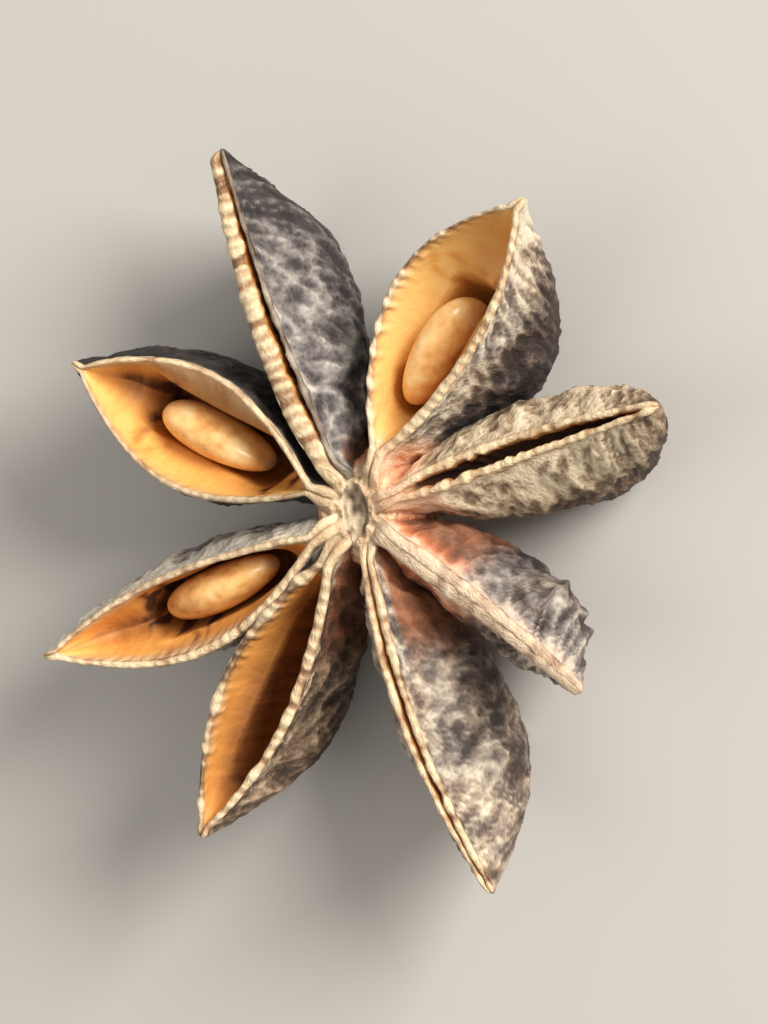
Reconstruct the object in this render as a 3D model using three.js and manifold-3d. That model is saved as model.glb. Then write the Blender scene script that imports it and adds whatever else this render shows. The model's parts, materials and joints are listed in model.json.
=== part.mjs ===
// A dried star anise pod: eight woody, boat-shaped follicles round a short column, with a stub of
// stalk under it. Four have split open along their seams, and three of those still hold a seed.
// Millimetres, +Z up. The origin lies on the table, under the pit in the middle of the star.

import * as THREE from "three";
import { ImprovedNoise } from "three/addons/math/ImprovedNoise.js";
import { mergeVertices } from "three/addons/utils/BufferGeometryUtils.js";
import Module from "manifold-3d";

const wasm = await Module();
wasm.setup();
const { clamp, degToRad, lerp, smoothstep } = THREE.MathUtils;
const noise = new ImprovedNoise();
const UP = new THREE.Vector3(0, 0, 1);

// ---- The pod as a whole ----
const SEAM_HEIGHT = 7.8; // of the seams above the table, beside the pit
const SEAM_DIP = 0.3; // how far a seam sags half-way along
const PIT_SLOPE = 0.45; // how far the seams drop towards the pit, over their first millimetre

// ---- What all follicles share: heights and widths in mm, places as shares of the length ----
const BELLY_AT = 0.55; // the follicle is broadest here, and narrows outwards
const BASE_DEPTH = 0.5; // share of the depth that joins the column
const ROOT_RADIUS = 0.588; // the least half-breadth, at the column
const BEAK_RADIUS = 0.168; // and at the beak
const LIP_CROWN = 0.16; // how far a lip's rounded top stands up
const CROWN_RISE = [0.5, 2.5]; // mm of reach over which it gets there
const SHUT = 0.1; // the gape under which a seam is still shut, and its lips make one ridge
const LIP_START = 0.7; // share of its breadth that a lip has beside the pit
const LIP_FULL_AT = 5; // mm of reach, from where it has all of it
const LIP_NARROWING = 0.45; // share of its breadth that it loses by the beak
const LIP_WEDGE = 0.33; // a lip's breadth per mm of reach round the pit, where all of them join up
const LIP_WEDGE_FADE = [1.3, 2.8]; // mm of reach
const SLIT_FROM = 0.12;
const SLIT_TO = 0.955;
const SLIT_EASE = 0.13; // over this much at either end the hollow gets its depth
const GROOVE = 0.12; // depth of the seam's groove beyond the slit

// ---- How full the curves are: the power of a sine or cosine, where a smaller one is fuller ----
const END_FROM_ABOVE = 0.8;
const KEEL_SWELL = 1.3;
const FLANK_ABOVE = 1.3; // its widest point
const FLANK_BELOW = 0.85;
const WALL_FALL = 2.6; // how late the flank under a mouth draws in towards the keel
const MOUTH = 0.85;
const MOUTH_LEAN = { open: 1.1, shut: 0.75 }; // over 1, the mouth is widest towards the beak
const TROUGH = { across: 1.2, up: 1.1 };
const LEDGE = { across: 1.5, up: 1.2 };
const CAVITY = 0.7;
const SOFTNESS = 4; // of the join of two curves, where a higher power is sharper
const WEDGE_SOFTNESS = 5;
const WALL_SOFTNESS = 6;

// ---- The hollow under a mouth: a trough, and in the floor of an open one the cavity that held the seed ----
const TROUGH_DEPTH = 2.4;
const SLIT_DEPTH = 3; // of a seam that has barely split, as a multiple of its gape
const LEDGE_DEPTH = 0.8; // of the floor beside a cavity, as a share of the trough's depth
const LEDGE_EDGE = 0.8; // the most of the gap that a cavity takes up
const CAVITY_EASE = 0.6; // how gently it begins and ends, from 0 to 1

// ---- The wrinkled skin ----
const WRINKLE_HEIGHT = 0.26;
const WRINKLE_LENGTH = 1.7; // along the follicle
const WRINKLE_WIDTH = 2.4; // across it
const FRAYED_FROM = [0.5, 0.75]; // shares of the length over which a frayed end gets its roughness
const CRIMP_HEIGHT = 0.1; // of the small notches along a lip
const CRIMP_LENGTH = 0.8;

// ---- Each follicle ----
// bearing of the tip: degrees anticlockwise from +X. root, length: from the star's middle to where the
// seam begins and to the tip. rise: how far the tip curves up. bow: sideways swing of the middle,
// anticlockwise. lean: degrees that the mouth tips anticlockwise over the keel. depth: from seam to keel,
// at its deepest point keelAt. tail: how bluntly the keel ends (under 1) or how gently (over 1).
// gape: between the lips. lips: breadth of the anticlockwise and the clockwise one. cavity: its middle
// along and aside, and its size. seed: its tilt there. wedge: half-breadth per mm of reach, where
// neighbours press together. fray: how much rougher its outer end is, as a multiple of the wrinkles.
const FOLLICLES = [
  {
    bearing: 19.6, root: 0.6, length: 16.0, rise: 0.8, bow: 0.3, lean: 8,
    breadth: 5.0, depth: 8.1, keelAt: 0.6, tail: 0.95, gape: 0.55, lips: [0.5, 0.5],
    wedge: 0.46, fray: 0,
  },
  {
    bearing: 58.7, root: 1.1, length: 16.6, rise: 0.9, bow: 1.3, lean: 18,
    breadth: 5.2, depth: 8.2, keelAt: 0.45, tail: 1.2, gape: 5.0, lips: [0.4, 0.6],
    cavity: { at: 0.42, aside: 0.4, length: 8, breadth: 2.4, depth: 5.1 }, seed: { pitch: -3 },
    wedge: 0.36, fray: 0,
  },
  {
    bearing: 111.3, root: 1.4, length: 17.0, rise: 0.5, bow: 0.8, lean: 0,
    breadth: 3.7, depth: 7.8, keelAt: 0.62, tail: 1.25, gape: 0.35, lips: [1.15, 0.3],
    wedge: 0.36, fray: 0,
  },
  {
    bearing: 155.6, root: 0.7, length: 14.8, rise: 0.6, bow: 0.3, lean: 0,
    breadth: 5.2, depth: 7.75, keelAt: 0.62, tail: 0.8, gape: 5.0, lips: [0.4, 0.4],
    cavity: { at: 0.53, aside: 0.4, length: 8, breadth: 2.4, depth: 5.1 }, seed: { pitch: -2 },
    wedge: 0.36, fray: 0,
  },
  {
    bearing: 205.2, root: 0.6, length: 16.6, rise: 0.4, bow: 0.9, lean: 7,
    breadth: 4.6, depth: 7.8, keelAt: 0.62, tail: 1.0, gape: 3.3, lips: [0.55, 0.4],
    cavity: { at: 0.49, aside: -0.3, length: 8, breadth: 2.4, depth: 5.1 }, seed: { pitch: -3 },
    wedge: 0.36, fray: 0,
  },
  {
    bearing: 244, root: 1.0, length: 16.4, rise: 0.6, bow: -0.6, lean: 0,
    breadth: 4.5, depth: 7.7, keelAt: 0.62, tail: 0.9, gape: 3.0, lips: [0.6, 0.5],
    cavity: { at: 0.52, aside: 0.2, length: 11, breadth: 1.7, depth: 5.2 },
    wedge: 0.36, fray: 0,
  },
  {
    bearing: 293, root: 1.4, length: 17.9, rise: 0.5, bow: -1.2, lean: -6,
    breadth: 3.9, depth: 7.8, keelAt: 0.55, tail: 0.95, gape: 0.18, lips: [0.45, 0.45],
    wedge: 0.36, fray: 0,
  },
  {
    bearing: 327, root: 0.75, length: 13.5, rise: 0.6, bow: 0, lean: 0,
    breadth: 3.6, depth: 6.5, keelAt: 0.55, tail: 1.1, gape: 0.05, lips: [0.65, 0.65],
    wedge: 0.46, fray: 1.2,
  },
];

// ---- The seeds ----
const SEED_LENGTH = 5.6;
const SEED_HEIGHT = 3.8;
const SEED_THICKNESS = 2.0;
const SEED_TOP = 0.7; // below the seam
const SEED_FULLNESS = 0.85; // the power of its outline's sine
const SEED_BLUNTNESS = 0.12; // how much thicker its outer end is

// ---- The column and the broken stalk, as radius and height from the bottom up ----
const COLUMN_PROFILE = [
  [0, -0.2],
  [1.25, -0.2],
  [1.15, 0.6],
  [1.3, 1.5],
  [1.15, 2.6],
  [1.5, 3.2],
  [2.1, 3.7],
  [2.6, 4.3],
  [2.7, 5.6],
  [2.3, 6.7],
  [1.75, 7.25],
  [1.3, 7.5],
  [0, 7.55],
];

// ---- The almond-shaped pit in the column's top ----
const PIT = { breadth: 1.3, length: 2.6, depth: 0.4, turn: 6, around: 12 };

// ---- Mesh fineness: steps along a follicle, and on each side of a section from the keel up ----
const ALONG = 25;
const FLANK_STEPS = 7;
const LIP_STEPS = 2;
const HOLLOW_STEPS = 4;
const COLUMN_STEP = 0.3; // the first ring's distance from the end by the column, in steps
const BEAK_STEP = 0.6; // the last ring's distance from the beak's end
const SEED_AROUND = 12;
const SEED_ALONG = 10;
const COLUMN_AROUND = 16;

const SLIVER = 0.02; // mm; what joining leaves is dissolved up to this
const WELD = 0.001; // mm; points closer than this are one

const SIDE_STEPS = FLANK_STEPS + LIP_STEPS + HOLLOW_STEPS;
const FLANK_END = FLANK_STEPS / SIDE_STEPS;
const LIP_END = (FLANK_STEPS + LIP_STEPS) / SIDE_STEPS;

// The soft larger (power above 0) or smaller (power below 0) of two positive numbers.
function blend(a, b, power) {
  return (a ** power + b ** power) ** (1 / power);
}

// 1 up to from, falling to 0 at to. A power under 1 makes the fall blunt.
function taper(s, from, to, power) {
  const share = clamp((s - from) / (to - from), 0, 1);
  return Math.cos((share * Math.PI) / 2) ** power;
}

const reachAt = ({ root, length }, s) => root + s * (length - root);

const beakRadiusAt = (s) => lerp(ROOT_RADIUS, BEAK_RADIUS, s);

function halfBreadthAt(follicle, s) {
  const wedge = follicle.wedge * reachAt(follicle, s);
  const belly = (follicle.breadth / 2) * taper(s, BELLY_AT, 1, END_FROM_ABOVE) + WELD / 1000;
  return blend(blend(wedge, belly, -WEDGE_SOFTNESS), beakRadiusAt(s), SOFTNESS);
}

function depthAt({ depth, keelAt, tail }, s) {
  const swell = Math.sin((Math.min(1, s / keelAt) * Math.PI) / 2) ** KEEL_SWELL;
  const body = depth * (BASE_DEPTH + (1 - BASE_DEPTH) * swell);
  return blend(body * taper(s, keelAt, 1, tail), 2 * beakRadiusAt(s), SOFTNESS);
}

function halfGapAt({ gape, cavity }, s) {
  const share = clamp((s - SLIT_FROM) / (SLIT_TO - SLIT_FROM), 0, 1);
  const lean = cavity ? MOUTH_LEAN.open : MOUTH_LEAN.shut;
  return (gape / 2) * Math.sin(share ** lean * Math.PI) ** MOUTH;
}

function lipBreadthAt(follicle, s, side) {
  const reach = reachAt(follicle, s);
  const grown = lerp(LIP_START, 1, smoothstep(reach, 1, LIP_FULL_AT)) * (1 - LIP_NARROWING * s);
  const joined = LIP_WEDGE * reach * (1 - smoothstep(reach, ...LIP_WEDGE_FADE));
  return blend(follicle.lips[side > 0 ? 0 : 1] * grown, joined, SOFTNESS);
}

// The trough's depth: none at the column and the beak, and all of it between.
function troughDepthAt({ cavity, gape }, s) {
  const opening = smoothstep(s, SLIT_FROM, SLIT_FROM + SLIT_EASE);
  const closing = smoothstep(s, SLIT_TO - SLIT_EASE, SLIT_TO);
  return lerp(GROOVE, cavity ? TROUGH_DEPTH : SLIT_DEPTH * gape, opening * (1 - closing));
}

// How far a lip stands up at s, from its outer edge (0) to the seam (1).
function crownAt(follicle, s, over) {
  const turn = over * (follicle.gape < SHUT ? Math.PI / 2 : Math.PI);
  return LIP_CROWN * smoothstep(reachAt(follicle, s), ...CROWN_RISE) * Math.sin(turn);
}

// How much of the cavity there is at s: none at its ends and beyond, and all of it round its middle.
function cavityShareAt({ cavity, root, length }, s) {
  const along = cavity ? ((s - cavity.at) * (length - root)) / (cavity.length / 2) : 1;
  return smoothstep(1 - along ** 2, 0, CAVITY_EASE);
}

// The hollow's wall at s, as across and up from the seam, and how far both sides are swung aside there. It
// runs down from the lip (0) to the bottom (1), over the edge of the cavity (0.5) where there is one.
function hollowPoint(follicle, s, down) {
  const { breadth, depth, aside } = follicle.cavity ?? { breadth: 0, depth: 0, aside: 0 };
  const share = cavityShareAt(follicle, s);
  const gap = halfGapAt(follicle, s);
  const trough = troughDepthAt(follicle, s);
  const turn = (down * Math.PI) / 2;
  const plain = [gap * Math.cos(turn) ** TROUGH.across, -trough * Math.sin(turn) ** TROUGH.up];
  const ledge = LEDGE_DEPTH * trough;
  const edge = Math.min(breadth / 2, LEDGE_EDGE * gap);
  const cut =
    down < 0.5
      ? [lerp(edge, gap, Math.cos(2 * turn) ** LEDGE.across), -ledge * Math.sin(2 * turn) ** LEDGE.up]
      : [edge * Math.sin(2 * turn) ** CAVITY, (depth - ledge) * Math.cos(2 * turn) - ledge];
  const across = down === 1 ? 0 : lerp(plain[0], cut[0], share);
  const up = lerp(plain[1], cut[1], share) + crownAt(follicle, s, 1) * Math.cos(turn);
  return [across, up, aside * share * Math.sin(turn)];
}

// A point of one side of a section (1 is the anticlockwise side, -1 the clockwise one), as across and up
// from the seam, and how far both sides are swung aside there. b runs from the keel (0) up the flank, over
// the lip and down to the hollow's bottom (1).
function sectionPoint(follicle, s, b, side) {
  const gap = halfGapAt(follicle, s);
  const lip = lipBreadthAt(follicle, s, side);
  if (b < FLANK_END) {
    const down = 1 - b / FLANK_END;
    const bulge = Math.sin(down * Math.PI) ** (down < 0.5 ? FLANK_ABOVE : FLANK_BELOW);
    const wall = (gap + lip) * (1 - down ** WALL_FALL);
    const across = blend(halfBreadthAt(follicle, s) * bulge, wall, WALL_SOFTNESS);
    return [across, (-depthAt(follicle, s) * (1 - Math.cos(down * Math.PI))) / 2, 0];
  }
  if (b < LIP_END) {
    const over = (b - FLANK_END) / (LIP_END - FLANK_END);
    return [gap + (lip * (1 + Math.cos(over * Math.PI))) / 2, crownAt(follicle, s, over), 0];
  }
  return hollowPoint(follicle, s, (b - LIP_END) / (1 - LIP_END));
}

// The skin's wrinkles and the lips' notches, as [across, up] to add to a point of a section.
function relief(follicle, s, b, side, [across, up]) {
  const x = reachAt(follicle, s);
  if (b >= FLANK_END) {
    const crimp = noise.noise(x / CRIMP_LENGTH, side * 3, follicle.bearing);
    return [0, b < LIP_END ? CRIMP_HEIGHT * crimp : 0];
  }
  const towards = new THREE.Vector2(across, up + depthAt(follicle, s) / 2).normalize();
  const place = [x / WRINKLE_LENGTH, (side * across) / WRINKLE_WIDTH, up / WRINKLE_WIDTH + follicle.bearing];
  const wrinkle = noise.noise(...place);
  const presence = smoothstep(1 - b / FLANK_END, 0.05, 0.4) * taper(s, 0.75, 1, 1);
  const fray = 1 + follicle.fray * smoothstep(s, ...FRAYED_FROM);
  const height = 2 * WRINKLE_HEIGHT * wrinkle * presence * fray;
  return [towards.x * height * (b === 0 ? 0 : 1), towards.y * height];
}

// A point of the follicle, in the pod's own frame. round runs once about the section, from the keel.
function folliclePoint(follicle, s, round) {
  const side = round < 0.5 ? 1 : -1;
  const b = round < 0.5 ? 2 * round : 2 * (1 - round);
  const [across, up, aside] = sectionPoint(follicle, s, b, side);
  const [bumpAcross, bumpUp] = relief(follicle, s, b, side, [across, up]);
  return placed(follicle, s, side * (across + bumpAcross) + aside, up + bumpUp);
}

// Leans a point of a section about the seam, swings and lifts it, and turns it to the follicle's bearing.
function placed(follicle, s, across, up) {
  const lean = degToRad(follicle.lean) * smoothstep(s, 0.05, 0.5);
  const y = across * Math.cos(lean) + up * Math.sin(lean) + follicle.bow * Math.sin(s * Math.PI);
  const z = up * Math.cos(lean) - across * Math.sin(lean);
  const reach = reachAt(follicle, s);
  const towardsPit = 1 - smoothstep(reach, follicle.root, follicle.root + 1);
  const dip = SEAM_DIP * Math.sin(s * Math.PI) + PIT_SLOPE * towardsPit;
  const seam = SEAM_HEIGHT - dip + follicle.rise * s ** 3;
  return new THREE.Vector3(reach, y, seam + z).applyAxisAngle(UP, degToRad(follicle.bearing));
}

// A sphere whose points are moved to where shape(along, round) says, each from 0 to 1.
function shapedSphere(around, along, shape) {
  const geometry = new THREE.SphereGeometry(1, around, along);
  const { position, uv } = geometry.attributes;
  for (let i = 0; i < position.count; i++) {
    const point = shape(uv.getY(i), uv.getX(i));
    position.setXYZ(i, point.x, point.y, point.z);
  }
  return geometry;
}

// The sphere's poles are the follicle's two ends, and its rings the sections between them.
function follicleGeometry(follicle) {
  return shapedSphere(2 * SIDE_STEPS, ALONG, (along, round) => {
    const s = clamp((along * ALONG - 1 + COLUMN_STEP) / (ALONG - 2 + COLUMN_STEP + BEAK_STEP), 0, 1);
    if (s === 0 || s === 1) return placed(follicle, s, 0, -depthAt(follicle, s) / 2);
    return folliclePoint(follicle, s, round);
  });
}

// A flattened oval, standing on its edge in the follicle's cavity, with a blunter outer end.
function seedGeometry(follicle) {
  const { cavity, root, length } = follicle;
  const middle = -SEED_TOP - SEED_HEIGHT / 2;
  const pitch = degToRad(follicle.seed.pitch);
  return shapedSphere(SEED_AROUND, SEED_ALONG, (along, round) => {
    const end = Math.cos(along * Math.PI);
    const girth = Math.sin(along * Math.PI) ** SEED_FULLNESS * (1 - SEED_BLUNTNESS * end);
    const lengthwise = (-end * SEED_LENGTH) / 2;
    const across = (girth * Math.cos(round * 2 * Math.PI) * SEED_THICKNESS) / 2;
    const up = (girth * Math.sin(round * 2 * Math.PI) * SEED_HEIGHT) / 2;
    const outwards = lengthwise * Math.cos(pitch) - up * Math.sin(pitch);
    const upwards = lengthwise * Math.sin(pitch) + up * Math.cos(pitch);
    return placed(follicle, cavity.at + outwards / (length - root), cavity.aside + across, middle + upwards);
  });
}

function columnGeometry() {
  const profile = COLUMN_PROFILE.map(([radius, height]) => new THREE.Vector2(radius, height));
  return new THREE.LatheGeometry(profile, COLUMN_AROUND).rotateX(Math.PI / 2);
}

function pitGeometry() {
  const { breadth, length, depth, turn, around } = PIT;
  const [, top] = COLUMN_PROFILE.at(-1);
  const almond = new THREE.SphereGeometry(1, around, around / 2).scale(breadth / 2, length / 2, depth);
  return almond.rotateZ(degToRad(turn)).translate(0, 0, top);
}

// What lies under the table's top is cut away, which leaves a small flat spot on each keel.
function tableGeometry() {
  const size = 50;
  return new THREE.BoxGeometry(size, size, size).translate(0, 0, -size / 2);
}

function solidOf(geometry) {
  const bare = geometry.clone().deleteAttribute("normal").deleteAttribute("uv");
  const merged = mergeVertices(bare, WELD);
  const { array } = merged.attributes.position;
  const mesh = new wasm.Mesh({ numProp: 3, vertProperties: array, triVerts: merged.index.array });
  return new wasm.Manifold(mesh);
}

function geometryOf(solid) {
  const { vertProperties, triVerts } = solid.getMesh();
  const geometry = new THREE.BufferGeometry();
  geometry.setAttribute("position", new THREE.BufferAttribute(vertProperties, 3));
  geometry.setIndex(new THREE.BufferAttribute(triVerts, 1));
  geometry.computeVertexNormals();
  return geometry;
}

// Neighbours that press together can seal a tiny pocket between them, or pinch off a crumb. Welding shows
// which, and both are left out.
function oneBody(solid) {
  const bodies = solidOf(geometryOf(solid)).decompose();
  return bodies.reduce((most, body) => (body.volume() > most.volume() ? body : most));
}

function podMesh() {
  const husk = new THREE.MeshStandardMaterial({ color: 0x6b5345, roughness: 0.85, metalness: 0 });
  let pod = solidOf(columnGeometry());
  for (const follicle of FOLLICLES) pod = pod.add(solidOf(follicleGeometry(follicle)));
  pod = pod.subtract(solidOf(pitGeometry())).subtract(solidOf(tableGeometry()));
  pod = oneBody(pod.simplify(SLIVER));
  const mesh = new THREE.Mesh(geometryOf(pod), husk);
  mesh.name = "pod";
  return mesh;
}

function seedMesh(follicle, index) {
  const coat = new THREE.MeshStandardMaterial({ color: 0xb87333, roughness: 0.25, metalness: 0 });
  const mesh = new THREE.Mesh(seedGeometry(follicle), coat);
  mesh.name = `seed_${index + 1}`;
  return mesh;
}

const starAnise = new THREE.Group();
starAnise.add(podMesh(), ...FOLLICLES.filter(({ seed }) => seed).map(seedMesh));

export default starAnise;
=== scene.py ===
"""The looks of a dried star anise pod, over its solids. Sizes in the pod's sections are in millimetres."""

import json
import math

import bmesh
import bpy
from mathutils import Matrix, Vector, noise

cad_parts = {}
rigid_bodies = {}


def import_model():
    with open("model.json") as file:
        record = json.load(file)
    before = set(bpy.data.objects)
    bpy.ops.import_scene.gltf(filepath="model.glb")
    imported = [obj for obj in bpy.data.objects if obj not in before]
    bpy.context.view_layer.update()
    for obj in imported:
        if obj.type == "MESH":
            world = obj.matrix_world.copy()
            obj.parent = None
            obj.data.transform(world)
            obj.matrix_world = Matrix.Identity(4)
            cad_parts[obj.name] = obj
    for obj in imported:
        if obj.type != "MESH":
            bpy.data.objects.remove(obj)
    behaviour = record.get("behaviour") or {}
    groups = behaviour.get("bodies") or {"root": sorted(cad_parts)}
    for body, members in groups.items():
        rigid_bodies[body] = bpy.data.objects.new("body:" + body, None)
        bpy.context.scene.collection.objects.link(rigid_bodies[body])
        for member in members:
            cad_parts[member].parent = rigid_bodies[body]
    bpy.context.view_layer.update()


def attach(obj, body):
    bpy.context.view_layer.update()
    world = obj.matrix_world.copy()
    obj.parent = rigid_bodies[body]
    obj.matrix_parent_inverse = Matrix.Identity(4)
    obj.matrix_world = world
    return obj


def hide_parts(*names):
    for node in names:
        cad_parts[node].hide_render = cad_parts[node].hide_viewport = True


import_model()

# ---- The follicles -------------------------------------------------------------------------------
# Eight woody, boat-shaped follicles stand in a star. Each is a leaf that has folded shut along the seam
# on its top and dried, so its skin has shrunk into wrinkles. Four have split open along the seam, and
# their thin walls have sprung apart.

SEAM_HEIGHT = 7.8  # of the seams above the table, beside the pit
SEAM_DIP = 0.3  # how far a seam sags half-way along
PIT_SLOPE = 0.45  # how far the seams drop towards the pit, over their first millimetre
LEANT_FROM = (0.05, 0.5)  # shares of the length over which a follicle gets its lean

# Heights and breadths, with places as shares of the length.
BELLY_AT = 0.55  # a follicle is broadest here, and narrows outwards
BASE_DEPTH = 0.5  # share of the depth that joins the column
ROOT_RADIUS = 0.588  # the least half-breadth, at the column
BEAK_RADIUS = 0.168  # and at the beak
BEAK_ROUND = 0.035  # the beak's end rounds off over this much
LIP_CROWN = 0.16  # how far a lip's rounded top stands up
CROWN_RISE = (0.5, 2.5)  # mm of reach over which it gets there
SHUT = 0.1  # the gape under which a seam is still shut, and its lips make one ridge
LIP_START = 0.7  # share of its breadth that a lip has beside the pit
LIP_GROWS = (1, 5)  # mm of reach over which it gets the rest
LIP_NARROWING = 0.45  # share of its breadth that it loses by the beak
LIP_WEDGE = 0.33  # a lip's breadth per mm of reach round the pit, where all of them join up
LIP_WEDGE_FADE = (1.3, 2.8)  # mm of reach
SLIT_FROM = 0.12  # a seam has split from here
SLIT_TO = 0.955  # to here
SLIT_EASE = 0.13  # over this much at either end the hollow gets its depth
GROOVE = 0.12  # depth of the seam's groove beyond the slit

# How full the curves are: the power of a sine or cosine, where a smaller one is fuller.
END_FROM_ABOVE = 0.8
KEEL_SWELL = 1.3
FLANK_ABOVE = 1.3  # its widest point
FLANK_BELOW = 0.85
WALL_FALL = 2.6  # how late the flank under a mouth draws in towards the keel
MOUTH = 0.85
MOUTH_LEAN = dict(open=1.1, shut=0.75)  # over 1, the mouth is widest towards the beak
TROUGH = dict(across=1.2, up=1.1)
LEDGE = dict(across=1.5, up=1.2)
CAVITY = 0.7
SOFTNESS = 4  # of the join of two curves, where a higher power is sharper
WEDGE_SOFTNESS = 5
WALL_SOFTNESS = 6

# The hollow under a mouth is a trough, and in the floor of an open one lies the cavity that held the seed.
TROUGH_DEPTH = 2.4
SLIT_DEPTH = 3  # of a seam that has barely split, as a multiple of its gape
LEDGE_DEPTH = 0.8  # of the floor beside a cavity, as a share of the trough's depth
LEDGE_EDGE = 0.8  # the most of the gap that a cavity takes up
CAVITY_EASE = 0.6  # how gently it begins and ends, from 0 to 1
BOTTOM = 0.9999  # share of the way down from which both walls are one line

# How the dried surface stands up and sinks in. Wherever a pattern covers several follicles, the last number
# of its place in the noise changes with the follicle's index, so that no two of them look the same.
FLANK_GIRTH = dict(depth=0.9, breadth=0.8)  # shares of the depth and half-breadth in the way round a flank
SWELL_HEIGHT, SWELL_LENGTH, SWELL_WIDTH = 0.4, 1.7, 2.6  # of the swellings between the deep wrinkles
SWELL_UNTIL = 0.7  # share of the length from which they die away
WRINKLE_HEIGHT = 0.22
WRINKLE_NETS = ((0.45, 1.1, 1.5, 9.1), (0.55, 0.62, 0.8, 3.7))  # share, length, width, noise layer
WRINKLE_SLANT = 0.4  # how far the wrinkles run outwards as they climb from the keel
RIDGE_SHARPNESS = 2.6
WRINKLED_FROM = (1.0, 3.5)  # mm of reach over which the skin gets its wrinkles
SMOOTH_EDGE = 0.22  # share of the flank, under the lip, over which they fade
FRAYED_FROM = (7.5, 9.5)  # mm of reach over which a frayed end gets its roughness
BEAD_LENGTH = 0.6
BEADED_FROM = (1.8, 4)  # mm of reach over which a lip gets its beads and notches
BEAK_FADE = (0.9, 1)  # shares of the length over which notches and tatters fade out
LIP_RELIEF, BEAD_RELIEF = 0.09, 0.05
SLIT_RAGGED = 0.5  # how ragged a slit's edges are, as a share of its breadth
RAGGED_LENGTHS = (0.9, 0.35)  # of the long and the short waves along them
LINING_RELIEF, LINING_WAVE = 0.04, 2.2

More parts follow.
